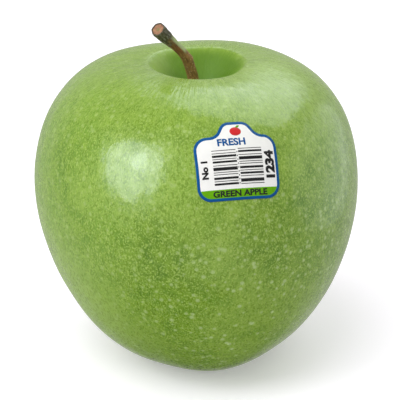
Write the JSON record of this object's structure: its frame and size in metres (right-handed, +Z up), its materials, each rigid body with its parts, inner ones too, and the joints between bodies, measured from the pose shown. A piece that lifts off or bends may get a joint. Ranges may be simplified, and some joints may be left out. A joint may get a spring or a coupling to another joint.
{
  "type": "apple",
  "caption": "Whole green apple standing on its base, with a bent woody stem in its basin, a small die-cut fruit label and a dried calyx underneath.",
  "frame": {"origin": "on the surface the fruit stands on, under the middle of its box", "axes": "+Z up towards the stem, -Y towards the side that carries the label, +X to the right of it"},
  "size_m": [0.0806, 0.0842, 0.0881],
  "materials": {
    "skin": "waxy green fruit skin with pale breathing pores",
    "bark": "rough brown bark, grey green at the cut end",
    "film": "printed satin label film",
    "dry_leaf": "dried matt leaf tissue",
    "dry_threads": "dried matt flower threads"
  },
  "bodies": {
    "root": {"fruit": "skin", "stem": "bark", "label": "film", "sepal_1": "dry_leaf", "sepal_2": "dry_leaf", "sepal_3": "dry_leaf", "sepal_4": "dry_leaf", "sepal_5": "dry_leaf", "stamens": "dry_threads"}
  },
  "joints": []
}
